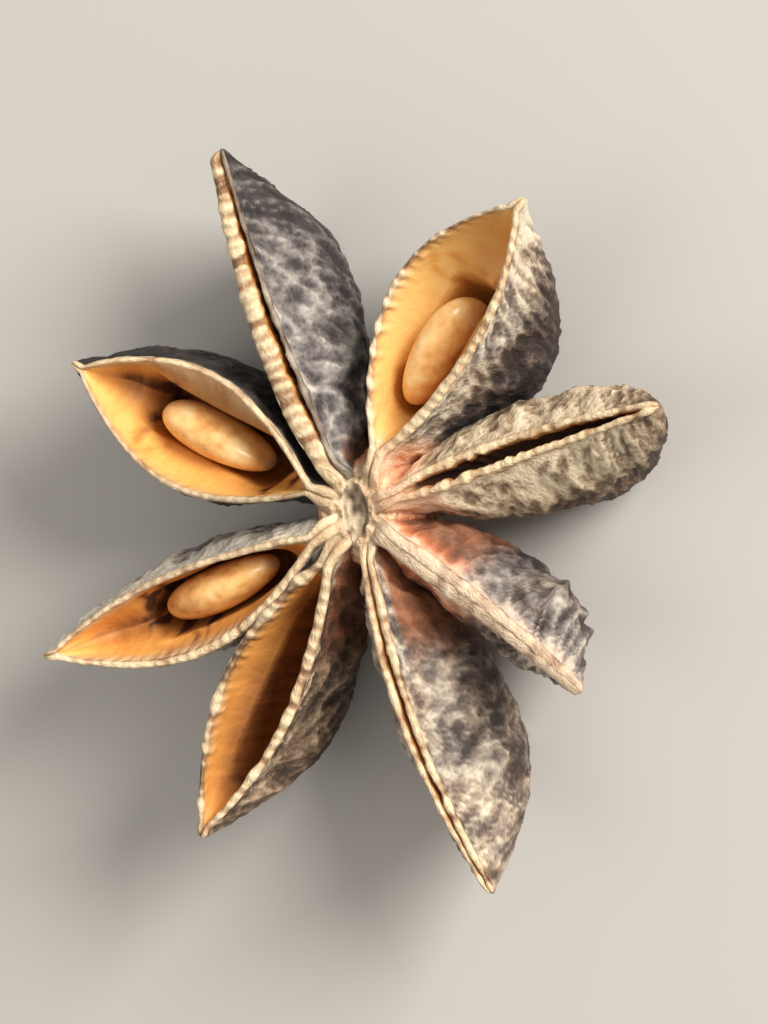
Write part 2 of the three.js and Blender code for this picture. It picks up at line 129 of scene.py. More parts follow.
# The form of each is as in its solid. warm: from grey (0) to tan (1). paleness: how pale the skin is.
# tints: where it is paler or, under 0, darker, as the side (1, -1 or 0 for both), how much, and the mm
# "out" from the star's middle or "down" from the seam over which that comes in; the darkening down the
# flanks of the first two follicles is painted shade. stains: places along both linings, in mm, and how
# dark they are. hollow_shade: how dark painted shade makes the hollow's bottom between seed and beak.
# The rest is for each side, anticlockwise first. cream, beads, notched: how pale its lip is, how bumpy, and
# how deeply crimped. ruddy: how far out from the column the red skin reaches, in mm, and whether it is
# brown (0) or pink (1). broad: how far the pale of its lip spreads over both faces. wall_shade: how much
# darker painted shade makes its lining, or under 0 how much lighter painted light makes it.
FOLLICLES = [
    dict(bearing=19.6, root=0.6, length=16.0, rise=0.8, bow=0.3, lean=8, breadth=5.0, depth=8.1,
         keel_at=0.6, tail=0.95, gape=0.55, lips=(0.5, 0.5), wedge=0.46, fray=0, warm=1.0, paleness=0.88,
         tints=((0, -0.75, "down", 1.5, 4), (0, -1.1, "out", 12.8, 14.8)),
         cream=(0.9, 1.0), beads=(1.0, 1.2), notched=(0.3, 0.4), ruddy=((4.6, 1.0), (5.2, 0.9))),
    dict(bearing=58.7, root=1.1, length=16.6, rise=0.9, bow=1.3, lean=18, breadth=5.2, depth=8.2,
         keel_at=0.45, tail=1.2, gape=5.0, lips=(0.4, 0.6), wedge=0.36, fray=0, warm=0.5, paleness=0.7,
         tints=((0, -1.0, "down", 1.5, 2.8),), stains=((11.2, 0.5),), hollow_shade=0.1,
         cream=(0.8, 1.0), beads=(1.6, 0.6), notched=(1.2, 0.6), ruddy=((2.5, 0.6), (5.2, 0.9)),
         wall_shade=(-0.25, 0.0),
         cavity=dict(at=0.42, aside=0.4, length=8, breadth=2.4, depth=5.1), pitch=-3),
    dict(bearing=111.3, root=1.4, length=17.0, rise=0.5, bow=0.8, lean=0, breadth=3.7, depth=7.8,
         keel_at=0.62, tail=1.25, gape=0.35, lips=(1.15, 0.3), wedge=0.36, fray=0, warm=-0.1, paleness=0.32,
         tints=((-1, -0.8, "out", 10.5, 14),),
         cream=(1.0, 0.2), beads=(1.5, 0.6), notched=(1.5, 0.6), ruddy=((2.5, 0.3), (4.0, 0.1))),
    dict(bearing=155.6, root=0.7, length=14.8, rise=0.6, bow=0.3, lean=0, breadth=5.2, depth=7.75,
         keel_at=0.62, tail=0.8, gape=5.0, lips=(0.4, 0.4), wedge=0.36, fray=0, warm=0.2, paleness=-0.8,
         tints=((0, 0.95, "down", 2.0, 4.5),), stains=((4.4, 1.0), (10.8, 0.6)), hollow_shade=0.45,
         cream=(0.7, 0.9), beads=(0.6, 0.3), notched=(0.4, 0.2), ruddy=((2.5, 0.6), (2.5, 0.6)),
         broad=(0, 1.4), wall_shade=(0.0, 0.2),
         cavity=dict(at=0.53, aside=0.4, length=8, breadth=2.4, depth=5.1), pitch=-2),
    dict(bearing=205.2, root=0.6, length=16.6, rise=0.4, bow=0.9, lean=7, breadth=4.6, depth=7.8,
         keel_at=0.62, tail=1.0, gape=3.3, lips=(0.55, 0.4), wedge=0.36, fray=0, warm=0.3, paleness=0.85,
         tints=((-1, 1.3, "down", 4.2, 0.8),), stains=((9.8, 0.8), (11.6, 0.6)), hollow_shade=0.32,
         cream=(1.0, 0.9), beads=(0.5, 0.5), notched=(0.5, 0.4), ruddy=((2.5, 0.6), (2.5, 0.6)),
         broad=(0.5, 0.6), wall_shade=(0.04, 0.24),
         cavity=dict(at=0.49, aside=-0.3, length=8, breadth=2.4, depth=5.1), pitch=-3),
    dict(bearing=244, root=1.0, length=16.4, rise=0.6, bow=-0.6, lean=0, breadth=4.5, depth=7.7,
         keel_at=0.62, tail=0.9, gape=3.0, lips=(0.6, 0.5), wedge=0.36, fray=0, warm=0.9, paleness=0.2,
         tints=(), stains=(), hollow_shade=0,
         cream=(0.9, 0.6), beads=(0.9, 1.6), notched=(0.9, 1.6), ruddy=((9.0, 0.17), (3.0, 0.4)),
         wall_shade=(0.5, 0.5),
         cavity=dict(at=0.52, aside=0.2, length=11, breadth=1.7, depth=5.2)),
    dict(bearing=293, root=1.4, length=17.9, rise=0.5, bow=-1.2, lean=-6, breadth=3.9, depth=7.8,
         keel_at=0.55, tail=0.95, gape=0.18, lips=(0.45, 0.45), wedge=0.36, fray=0, warm=0.5, paleness=0.4,
         tints=(),
         cream=(0.8, 0.9), beads=(1.0, 0.8), notched=(0.6, 0.5), ruddy=((8.8, 0.27), (4.0, 0.5))),
    dict(bearing=327, root=0.75, length=13.5, rise=0.6, bow=0, lean=0, breadth=3.6, depth=6.5,
         keel_at=0.55, tail=1.1, gape=0.05, lips=(0.65, 0.65), wedge=0.46, fray=0.8, warm=0.3, paleness=0.28,
         tints=((0, 0.2, "out", 9.6, 11.4),),
         cream=(0.6, 0.6), beads=(0.9, 0.9), notched=(0.2, 0.2), ruddy=((7.4, 0.2), (9.0, 0.25))),
]

ALONG = 86
FIRST_ROW, LAST_ROW = 0.7, ALONG - 0.4  # the rows of points at which a follicle's ends would lie
FLANK_STEPS, LIP_STEPS, HOLLOW_STEPS = 44, 8, 16
SIDE_STEPS = FLANK_STEPS + LIP_STEPS + HOLLOW_STEPS
FLANK_END = FLANK_STEPS / SIDE_STEPS
LIP_END = (FLANK_STEPS + LIP_STEPS) / SIDE_STEPS


def ramp(x, start, end):
    """0 up to start, 1 from end, and smooth between. It falls where start is past end."""
    share = max(0.0, min(1.0, (x - start) / (end - start)))
    return share * share * (3 - 2 * share)


def soft(a, b, power):
    """The larger of two sizes, or with a power under 0 the smaller, with the join rounded."""
    return (a**power + b**power) ** (1 / power)


def taper(s, start, end, power):
    """1 up to start, and from there to 0 at end like a cosine."""
    share = max(0.0, min(1.0, (s - start) / (end - start)))
    return max(0.0, math.cos(share * math.pi / 2)) ** power


def reach_at(f, s):
    return f["root"] + s * (f["length"] - f["root"])


def least_radius(s):
    return ROOT_RADIUS + s * (BEAK_RADIUS - ROOT_RADIUS)


def half_breadth(f, s):
    belly = f["breadth"] / 2 * taper(s, BELLY_AT, 1, END_FROM_ABOVE)
    return soft(soft(f["wedge"] * reach_at(f, s), belly + 1e-6, -WEDGE_SOFTNESS), least_radius(s), SOFTNESS)


def depth_at(f, s):
    swell = math.sin(min(1, s / f["keel_at"]) * math.pi / 2) ** KEEL_SWELL
    body = f["depth"] * (BASE_DEPTH + (1 - BASE_DEPTH) * swell)
    return soft(body * taper(s, f["keel_at"], 1, f["tail"]), 2 * least_radius(s), SOFTNESS)


def half_gap(f, s):
    share = max(0.0, min(1.0, (s - SLIT_FROM) / (SLIT_TO - SLIT_FROM)))
    lean = MOUTH_LEAN["open" if "cavity" in f else "shut"]
    return f["gape"] / 2 * max(0.0, math.sin(share**lean * math.pi)) ** MOUTH


def lip_at(f, s, side):
    reach = reach_at(f, s)
    grown = LIP_START + (1 - LIP_START) * ramp(reach, *LIP_GROWS)
    free = f["lips"][side < 0] * grown * (1 - LIP_NARROWING * s)
    return soft(free, LIP_WEDGE * reach * (1 - ramp(reach, *LIP_WEDGE_FADE)), SOFTNESS)


def opened(s):
    """How far the seam has opened at s, from 0 at the column and the beak to 1 between."""
    return ramp(s, SLIT_FROM, SLIT_FROM + SLIT_EASE) * (1 - ramp(s, SLIT_TO - SLIT_EASE, SLIT_TO))


def trough_at(f, s):
    full = TROUGH_DEPTH if "cavity" in f else SLIT_DEPTH * f["gape"]
    return GROOVE + (full - GROOVE) * opened(s)


def crown_at(f, s, over):
    """How far a lip stands up, from its outer edge (0) to the seam (1). A shut seam's lips make a ridge."""
    turn = over * math.pi / (2 if f["gape"] < SHUT else 1)
    return LIP_CROWN * ramp(reach_at(f, s), *CROWN_RISE) * math.sin(turn)


def cavity_share(f, s):
    """How much of the cavity there is at s, from 0 at its ends and beyond to 1 round its middle."""
    if "cavity" not in f:
        return 0
    along = (s - f["cavity"]["at"]) * (f["length"] - f["root"]) / (f["cavity"]["length"] / 2)
    return ramp(1 - along**2, 0, CAVITY_EASE)


def hollow(f, s, down):
    """The hollow's wall, as across and up from the seam, and how far both sides are swung aside there. It
    runs down from the lip (0) to the bottom (1), over the edge of the cavity (0.5) where there is one."""
    cavity = f.get("cavity", dict(aside=0, breadth=0, depth=0))
    share, gap, trough = cavity_share(f, s), half_gap(f, s), trough_at(f, s)
    turn = down * math.pi / 2
    across = gap * max(0.0, math.cos(turn)) ** TROUGH["across"]
    up = -trough * math.sin(turn) ** TROUGH["up"]
    ledge, edge = LEDGE_DEPTH * trough, min(cavity["breadth"] / 2, LEDGE_EDGE * gap)
    if down < 0.5:
        across_cut = edge + (gap - edge) * math.cos(2 * turn) ** LEDGE["across"]
        up_cut = -ledge * math.sin(2 * turn) ** LEDGE["up"]
    else:
        across_cut = edge * max(0.0, math.sin(2 * turn)) ** CAVITY
        up_cut = -ledge + (cavity["depth"] - ledge) * math.cos(2 * turn)
    across += (across_cut - across) * share
    up += (up_cut - up) * share + crown_at(f, s, 1) * math.cos(turn)
    return across if down < BOTTOM else 0, up, cavity["aside"] * share * math.sin(turn)


def section(f, s, b, side):
    """One side of a section, as across and up from the seam, and how far both sides are swung aside there.
    b runs from the keel (0) up the flank, over the lip and down to the hollow's bottom (1)."""
    gap, lip = half_gap(f, s), lip_at(f, s, side)
    if b < FLANK_END:
        down = 1 - b / FLANK_END
        bulge = max(0.0, math.sin(down * math.pi)) ** (FLANK_ABOVE if down < 0.5 else FLANK_BELOW)
        across = soft(half_breadth(f, s) * bulge, (gap + lip) * (1 - down**WALL_FALL), WALL_SOFTNESS)
        return across, -depth_at(f, s) * (1 - math.cos(down * math.pi)) / 2, 0
    if b < LIP_END:
        over = (b - FLANK_END) / (LIP_END - FLANK_END)
        return gap + lip * (1 + math.cos(over * math.pi)) / 2, crown_at(f, s, over), 0
    return hollow(f, s, min(1.0, (b - LIP_END) / (1 - LIP_END)))


def placed(f, s, across, up):
    """A point of a section, leant about the seam, swung sideways, lifted and turned to the bearing."""
    lean = math.radians(f["lean"]) * ramp(s, *LEANT_FROM)
    y = across * math.cos(lean) + up * math.sin(lean) + f["bow"] * math.sin(s * math.pi)
    z = up * math.cos(lean) - across * math.sin(lean)
    x = reach_at(f, s)
    towards_pit = 1 - ramp(x, f["root"], f["root"] + 1)
    z += SEAM_HEIGHT - SEAM_DIP * math.sin(s * math.pi) - PIT_SLOPE * towards_pit + f["rise"] * s**3
    turn = math.radians(f["bearing"])
    return Vector((x * math.cos(turn) - y * math.sin(turn), x * math.sin(turn) + y * math.cos(turn), z))


def ridges(x, y, layer):
    """A net of narrow ridges between wider dents, from 0 in a dent to 1."""
    return 1 - min(1.0, RIDGE_SHARPNESS * abs(noise.noise((x, y, layer))))


# What the husk's colours follow, kept at each point of its surface. along, around: its place in mm.
# known: 1, or 0 on a point that has no marks yet.
MARKS = ("lining", "lip", "notched", "crest", "deep", "blush", "pink", "pale", "warm", "straw", "along",
         "around", "known")
SIDE_GIRTH = 14  # mm round one side, as the patterns take it
PATTERN_STEP = 30  # mm that they shift by from one follicle to the next
OPEN_RIM, SLIT_RIM = 0.035, 0.02  # how broad the change from the lip's colour to the lining's is, in b
BROAD_RIM = 0.08  # what a lip with a broad pale edge adds to it
LINING_OVERLAP = 0.047  # how far before the lip's end that change starts, in b, less half its breadth
LINED_BY = 0.05  # share of the length, from where a seam splits, over which its lining starts to show
LINED_GAPE = (0.05, 0.15)  # and the gapes over which it does
PALE_EDGE = (0.95, 1)  # shares of the way up a flank over which the lip's pale comes in
BROAD_EDGE = (0.05, 0.02)  # how much lower that is under a broad pale edge
SHADE_DEPTH, SLIT_SHADE_DEPTH = 5, 0.7  # mm under the seam over which painted shade darkens a lining
STAIN_REACH = (0.3, 1.3)  # mm from a stain's middle over which it fades
HOLLOW_SHADE_PAST_SEED = (2.9, 3.9)  # mm beyond the seed's middle over which the painted shade of the hollow's bottom comes in
HOLLOW_SHADE_INWARD = (0.4, 0.85)  # and the shares of the way down the hollow's wall
SEAM_LIGHT, SEAM_LIGHT_DOWN = 0.6, (0.5, 3.2)  # how much paler painted light makes the skin at the seam, as a share of its paleness, fading over these mm
KEEL_SHADE, KEEL_SHADE_DOWN = 0.45, (2.4, 5)  # how much darker painted shade makes the skin at the keel, and from where
FRAYED_PALE = 0.8  # how much paler the frayed skin's tatters are
RIDGE_DOWN, RIDGE_GREY = (0.1, 0.7), 0.6  # mm that a shut seam's pale ridge reaches down, and how grey it is
RED_ENDS = (0.45, 1.1)  # shares of the red skin's reach over which it fades out


def mark_point(v, layer, marks):
    for mark, value in marks.items():
        v[layer[mark]] = value


class Spot:
    """A point of a follicle's surface, from a point of a ball with its poles at the column and the beak.

    s: share of the length. b: as in section(). side: 1 on the anticlockwise side, else -1. x: reach.
    q: mm round the flank from the keel. low: from 0 under the lip to 1 further down the flank."""

    def __init__(self, index, f, on_ball):
        row = ALONG - round(math.acos(max(-1.0, min(1.0, on_ball.z))) / math.pi * ALONG)
        column = round(math.atan2(on_ball.y, on_ball.x) / math.pi * SIDE_STEPS) % (2 * SIDE_STEPS)
        self.index, self.f, self.side = index, f, 1 if column <= SIDE_STEPS else -1
        self.s = max(0.0, min(1.0, (row - FIRST_ROW) / (LAST_ROW - FIRST_ROW)))
        self.b = (column if self.side > 0 else 2 * SIDE_STEPS - column) / SIDE_STEPS
        self.depth, self.x = depth_at(f, self.s), reach_at(f, self.s)
        across, up, self.aside = section(f, self.s, self.b, self.side)
        if row in (0, ALONG):
            across, up, self.aside, self.b = 0, -self.depth / 2, 0, 0.5 * FLANK_END
        self.shrink = math.sqrt(max(0.0, 1 - max(0.0, (self.s - 1 + BEAK_ROUND) / BEAK_ROUND) ** 2))
        self.across, self.up = across * self.shrink, -self.depth / 2 + (up + self.depth / 2) * self.shrink
        self.flank = self.b < FLANK_END
        self.low = ramp(1 - self.b / FLANK_END, 0.0, SMOOTH_EDGE) if self.flank else 0
        girth = FLANK_GIRTH["depth"] * self.depth + FLANK_GIRTH["breadth"] * half_breadth(f, self.s)
        self.q = self.side * min(1, self.b / FLANK_END) * girth
        slant = self.x - WRINKLE_SLANT * abs(self.q)
        self.wrinkle = sum(share * ridges(slant / length, self.q / width, index * layer)
                           for share, length, width, layer in WRINKLE_NETS)
        self.bead = self.beading()
        tatters = max(0, noise.noise((self.x / 1.1, self.q / 0.5, 7.1)))
        self.frayed = f["fray"] * ramp(self.x, *FRAYED_FROM) * (self.side > 0) * tatters

    def own(self, key):
        """What the follicle's row says for this side, or 0 where it says nothing."""
        return self.f.get(key, (0, 0))[self.side < 0]

    def beading(self):
        """How high the beads along a lip stand, about 0.5 in the mean."""
        x, side, index = self.x, self.side, self.index
        bead = 0.6 * self.own("beads") * noise.noise((x / BEAD_LENGTH, side * 4.0, index * 2.3))
        bead = 0.5 + bead * ramp(x, *BEADED_FROM)
        bead += 0.35 * noise.noise((x / 1.1, side * 6.0, self.b * 9 + index * 4.3))
        over = (self.b - FLANK_END) / (LIP_END - FLANK_END)
        return bead - (0.3 * (2 * over - 1) ** 2 if 0 <= over <= 1 else 0)

    def place(self):
        """Its place, with the flanks swollen between the wrinkles and a slit's edges ragged."""
        x, side, index, across = self.x, self.side, self.index, self.across
        outward = Vector((0, 0))
        if self.flank:
            swell = SWELL_HEIGHT * noise.noise((x / SWELL_LENGTH, self.q / SWELL_WIDTH, index * 5.3))
            swell *= self.low * taper(self.s, SWELL_UNTIL, 1, 1)
            outward = Vector((across, self.up + self.depth / 2)).normalized() * swell
        if "cavity" not in self.f and self.b > LIP_END - 0.03:
            ragged = noise.noise((x / RAGGED_LENGTHS[0], side * 3.0, index * 1.7))
            ragged += noise.noise((x / RAGGED_LENGTHS[1], side * 5.0, index * 1.9))
            across *= 1 + SLIT_RAGGED * ragged
        across = side * (across + outward.x * (self.b > 0)) + self.aside
        return placed(self.f, self.s, across, self.up + outward.y)

    def relief(self):
        """How far the surface stands out here, in wrinkles, beads or the lining's waves."""
        x, s = self.x, self.s
        if self.flank:
            wrinkled = self.low * (0.35 + 0.65 * taper(s, 0.85, 1, 1)) * ramp(x, *WRINKLED_FROM)
            tatters = self.frayed * ramp(-self.up, 0.2, 0.8) * (1 - ramp(s, *BEAK_FADE))
            return tatters + (self.wrinkle - 0.4) * WRINKLE_HEIGHT * wrinkled
        if self.b < LIP_END + 0.02:
            return (LIP_RELIEF + BEAD_RELIEF * self.own("beads")) * (self.bead - 0.35) * self.shrink
        return LINING_RELIEF * noise.noise((x / LINING_WAVE, self.b * 14, self.side * 3.0 + self.index))

    def edge_marks(self):
        """Where the surface is lip or lining, and how dark the lining is: painted shade, and its stains."""
        f, s, b, x, side = self.f, self.s, self.b, self.x, self.side
        inward = 0 if b < LIP_END else (b - LIP_END) / (1 - LIP_END)
        split = ramp(s, SLIT_FROM, SLIT_FROM + LINED_BY) * ramp(f["gape"], *LINED_GAPE)
        broad = self.own("broad")
        rim = OPEN_RIM + BROAD_RIM * broad if "cavity" in f else SLIT_RIM
        lining = ramp(b, LIP_END - LINING_OVERLAP + rim / 2, LIP_END + rim) * split
        edge = (start - spread * broad for start, spread in zip(PALE_EDGE, BROAD_EDGE))
        lip = ramp(b / FLANK_END, *edge) * self.own("cream") * (1 - split * ramp(inward, 0, 5 * rim))
        notched = 0.5 * self.own("notched") * ramp(x, *BEADED_FROM) * (1 - ramp(s, *BEAK_FADE))
        # The lining darkens with depth under the seam as painted shade. An open hollow also takes painted
        # shade, or painted light, on each wall, painted shade at its bottom past the seed, and its stains.
        deep = 0.6 + max(0, -self.up) / SLIT_SHADE_DEPTH
        if "cavity" in f:
            stain = sum(dark * (1 - ramp(abs(x - place), *STAIN_REACH)) for place, dark in f["stains"])
            stain *= ramp(noise.noise((x / 0.5, b * 18, side * 2.0 + self.index)), -0.1, 0.35)
            hollow_shade = f["hollow_shade"] * ramp(x - reach_at(f, f["cavity"]["at"]), *HOLLOW_SHADE_PAST_SEED)
            hollow_shade *= ramp(inward, *HOLLOW_SHADE_INWARD) * (1 - ramp(s, 0.92, 1))
            deep = min(1.0, max(0, -self.up) / SHADE_DEPTH + self.own("wall_shade")) + stain + hollow_shade
        return dict(lining=lining, lip=lip, notched=notched, deep=deep)

    def skin_marks(self):
        """How pale, warm, red and pink the skin is, with painted light near the seam and painted shade
        towards the keel.
        """
        f, x, down, shut = self.f, self.x, -self.up, self.f["gape"] < SHUT
        # Painted light makes the skin paler near the seam, and painted shade makes it darker towards the
        # keel.
        pale = f["paleness"] * (1 + SEAM_LIGHT * (1 - ramp(down, *SEAM_LIGHT_DOWN))) - KEEL_SHADE * ramp(down, *KEEL_SHADE_DOWN)
        for side, amount, way, start, end in f["tints"]:
            if side in (0, self.side):
                pale += amount * ramp(x if way == "out" else down, start, end)
        reddened, pink = self.own("ruddy")
        clear_of_lip = ramp(down, 0.1, 0.6) if pink < 0.8 and not shut else 1
        blush = 1 - ramp(x, *(share * reddened for share in RED_ENDS))
        blush *= clear_of_lip if self.flank else 0.7 * pink**2
        if not shut:
            return dict(pale=pale, warm=f["warm"], blush=blush, pink=pink)
        ridge = 1 - ramp(down, *RIDGE_DOWN)
        return dict(pale=pale + FRAYED_PALE * self.frayed + ridge, warm=f["warm"] - RIDGE_GREY * ridge,
                    blush=max(blush, 0.4 * (1 - ramp(down, 0.3, 0.9))), pink=pink + 0.7 * ramp(down, 1, 0.15))


def follicle_mesh(index, f):
    bm = bmesh.new()
    bmesh.ops.create_uvsphere(bm, u_segments=2 * SIDE_STEPS, v_segments=ALONG, radius=1)
    layer = {mark: bm.verts.layers.float.new(mark) for mark in MARKS}
    raised = []
    for v in bm.verts:
        spot = Spot(index, f, v.co)
        v.co = spot.place()
        raised.append(spot.relief())
        around = spot.side * spot.b * SIDE_GIRTH + index * PATTERN_STEP
        place = dict(known=1, crest=spot.wrinkle if spot.flank else spot.bead, along=spot.x, around=around)
        mark_point(v, layer, {**place, **spot.edge_marks(), **spot.skin_marks()})
    bmesh.ops.recalc_face_normals(bm, faces=bm.faces)
    bm.normal_update()
    for v, move in [(v, v.normal * height) for v, height in zip(bm.verts, raised)]:
        v.co += move
    return bm


# ---- The column and the stalk --------------------------------------------------------------------
# The follicles grow from a short woody column, which ends above in the small pit of the star and below
# in the stalk. The stalk is straw-coloured and fibrous, and has snapped off short, so its end is flat.

COLUMN_PROFILE = [(0, 0), (1.2, 0), (1.15, 0.6), (1.3, 1.5), (1.15, 2.6), (1.5, 3.2), (2.1, 3.7),
                  (2.6, 4.3), (2.7, 5.6), (2.3, 6.7), (1.75, 7.25), (1.3, 7.5), (0, 7.55)]
COLUMN_CUTS = 6  # in each of the profile's edges
COLUMN_STEPS = 60  # round it
STALK_UNTIL = (2.4, 3.6)  # heights between which the stalk turns into the column
TOP_FROM = (6.6, 7.1)  # and the column into its top
FIBRE_GIRTH, FIBRE_PITCH = 2.6, 0.25  # the more, the finer the fibres are, and the shorter
FIBRE_RELIEF, COLUMN_GRAIN = 0.16, 0.05  # shares of the radius by which they and the grain stand out
TOP_LUMPS, TOP_GRAIN = 0.2, 0.15  # heights
PIT = dict(breadth=1.3, length=2.6, depth=0.4, turn=6, lumps=0.22)  # turn in degrees, lumps as a share
PIT_AROUND, PIT_ALONG = 48, 32


def column_mesh():
    bm = bmesh.new()
    layer = {mark: bm.verts.layers.float.new(mark) for mark in MARKS}
    profile = [bm.verts.new((radius, 0, height)) for radius, height in COLUMN_PROFILE]
    edges = [bm.edges.new(pair) for pair in zip(profile, profile[1:])]
    bmesh.ops.subdivide_edges(bm, edges=edges, cuts=COLUMN_CUTS)
    bmesh.ops.spin(bm, geom=bm.verts[:] + bm.edges[:], axis=(0, 0, 1), cent=(0, 0, 0), angle=2 * math.pi,
                   steps=COLUMN_STEPS, use_merge=True)
    bmesh.ops.remove_doubles(bm, verts=bm.verts, dist=1e-4)
    for v in bm.verts:
        x, y, z = v.co
        out, stalk, top = math.hypot(x, y), 1 - ramp(z, *STALK_UNTIL), ramp(z, *TOP_FROM)
        fibre = noise.noise((*(Vector((x, y, 0)).normalized() * FIBRE_GIRTH).xy, z * FIBRE_PITCH))
        grain = COLUMN_GRAIN * noise.noise((x * 3, y * 3, z * 2))
        grow = 1 + (FIBRE_RELIEF * fibre + grain) * ramp(out, 0.2, 1)
        v.co.x, v.co.y = x * grow, y * grow
        rough = noise.noise((x * 5, y * 5, 4.0))
        v.co.z += top * TOP_LUMPS * noise.noise((x * 2.2, y * 2.2, 1.0))
        v.co.z += top * TOP_GRAIN * rough
        crest = 0.5 + fibre * (1 - top) * ramp(out, 0.3, 1.1) + (0.6 * top + 0.5 * stalk) * rough
        # The pink pales with height as painted light, on the column's top that lies in the shade between the
        # follicles.
        marks = dict(known=1, straw=stalk, crest=crest, lip=top * 0.9, blush=(1 - stalk) * (1 - 0.6 * top),
                     pink=0.45 + 0.35 * ramp(z, 4, 5.2), deep=0.5, pale=0.75, warm=0.5,
                     along=z, around=2.5 * math.atan2(y, x))
        mark_point(v, layer, marks)
    bmesh.ops.recalc_face_normals(bm, faces=bm.faces)
    return bm


def pit_mesh():
    bm = bmesh.new()
    bmesh.ops.create_uvsphere(bm, u_segments=PIT_AROUND, v_segments=PIT_ALONG, radius=1)
    layer = {mark: bm.verts.layers.float.new(mark) for mark in MARKS}
    for v in bm.verts:
        rough = noise.noise(v.co * 2.2)
        x, y, z = v.co * (1 + PIT["lumps"] * rough)
        v.co = (x * PIT["breadth"] / 2, y * PIT["length"] / 2, z * PIT["depth"])
        marks = dict(known=1, crest=0.6 + rough, pale=0.7, warm=0.8, deep=0.5, along=4 * y, around=8 * x)
        mark_point(v, layer, marks)
    bmesh.ops.rotate(bm, verts=bm.verts, matrix=Matrix.Rotation(math.radians(PIT["turn"]), 3, "Z"))
    bmesh.ops.translate(bm, verts=bm.verts, vec=(0, 0, COLUMN_PROFILE[-1][1]))
    return bm


# ---- The pod in one piece ------------------------------------------------------------------------
# The dried fruit is one piece of wood and skin, so its parts are fused. It stands on the small flats of
# its keels, which are pressed level with the table.

MM = 0.001  # in metres, which Blender takes
SHARP_EDGE = 75  # degrees between two faces from which their edge is shaded sharp

# The colours of the surface, as the place along their scale and the colour, from dark to pale.
GREY_SKIN = ((0.0, (0.018, 0.014, 0.014)), (0.27, (0.045, 0.036, 0.034)), (0.51, (0.140, 0.121, 0.115)),
             (0.72, (0.28, 0.25, 0.225)), (0.96, (0.55, 0.50, 0.43)))
TAN_SKIN = ((0.0, (0.026, 0.014, 0.009)), (0.27, (0.062, 0.034, 0.020)), (0.51, (0.18, 0.115, 0.070)),
            (0.72, (0.40, 0.295, 0.19)), (0.96, (0.72, 0.59, 0.41)))
RED_SKIN = ((0.0, (0.07, 0.025, 0.012)), (0.3, (0.24, 0.070, 0.018)), (0.6, (0.50, 0.14, 0.045)),
            (0.8, (0.72, 0.33, 0.17)), (1.0, (0.85, 0.56, 0.37)))
CREAM_LIP = ((0.05, (0.38, 0.20, 0.10)), (0.35, (0.66, 0.46, 0.27)), (0.65, (0.88, 0.70, 0.44)))
STRAW_STALK = ((0.1, (0.20, 0.12, 0.05)), (0.5, (0.46, 0.34, 0.17)), (0.9, (0.66, 0.55, 0.33)))
# And from the lit lining under the lips to the lining in painted shade at the bottom.
AMBER_LINING_TO_SHADE = ((0.0, (0.88, 0.54, 0.18)), (0.25, (0.82, 0.41, 0.10)), (0.55, (0.62, 0.27, 0.06)),
                (0.8, (0.40, 0.16, 0.04)), (1.0, (0.08, 0.025, 0.01)))
CRIMPS = 11.4  # radians of the crimps' waves per mm along a lip
FINE_RELIEF = 0.2 * MM  # metres from the bottom to the top of the relief that a finish alone gives


def loose_piece(name, bm, collection):
    """An object for a part of the pod, pressed level with the table."""
    bmesh.ops.scale(bm, vec=(MM, MM, MM), verts=bm.verts)
    for v in bm.verts:
        v.co.z = max(v.co.z, 0.0)
    mesh = bpy.data.meshes.new(name)
    bm.to_mesh(mesh)
    bm.free()
    piece = bpy.data.objects.new(name, mesh)
    collection.objects.link(piece)
    return piece


parts = bpy.data.collections.new("parts")
bpy.context.scene.collection.children.link(parts)
for index, f in enumerate(FOLLICLES):
    loose_piece(f"follicle_{index}", follicle_mesh(index, f), parts)
column = loose_piece("column", column_mesh(), bpy.context.scene.collection)
pit = loose_piece("pit", pit_mesh(), bpy.context.scene.collection)
union = column.modifiers.new("union", "BOOLEAN")
union.operation, union.solver = "UNION", "MANIFOLD"
union.operand_type, union.collection = "COLLECTION", parts
hollowing = column.modifiers.new("pit", "BOOLEAN")
hollowing.operation, hollowing.solver, hollowing.object = "DIFFERENCE", "MANIFOLD", pit
husk_mesh = bpy.data.meshes.new_from_object(column.evaluated_get(bpy.context.evaluated_depsgraph_get()))
for piece in [column, pit, *parts.objects]:
    bpy.data.objects.remove(piece)
bpy.data.collections.remove(parts)

# Where two follicles only just touch, the union leaves loose slivers of two faces back to back.
bm = bmesh.new()
bm.from_mesh(husk_mesh)
sharing = {}
for face in bm.faces:
    sharing.setdefault(frozenset(face.verts), []).append(face)
slivers = [face for faces in sharing.values() if len(faces) > 1 for face in faces]
bmesh.ops.delete(bm, geom=slivers, context="FACES")

# Where two parts meet, the new points take their marks from the nearest old ones.
layer = {mark: bm.verts.layers.float[mark] for mark in MARKS}
unknown = [v for v in bm.verts if v[layer["known"]] < 0.5]
while unknown:
    ready = []
    for v in unknown:
        near = [e.other_vert(v) for e in v.link_edges]
        near = [n for n in near if n[layer["known"]] > 0.5]
        if near:
            ready.append((v, {m: sum(n[layer[m]] for n in near) / len(near) for m in MARKS}))
    for v, marks in ready:
        mark_point(v, layer, marks)
    if not ready:
        break
    unknown = [v for v in unknown if v[layer["known"]] < 0.5]
bm.to_mesh(husk_mesh)
bm.free()
husk_mesh.shade_smooth()
husk_mesh.set_sharp_from_angle(angle=math.radians(SHARP_EDGE))
husk = bpy.data.objects.new("husk", husk_mesh)
bpy.context.scene.collection.objects.link(husk)


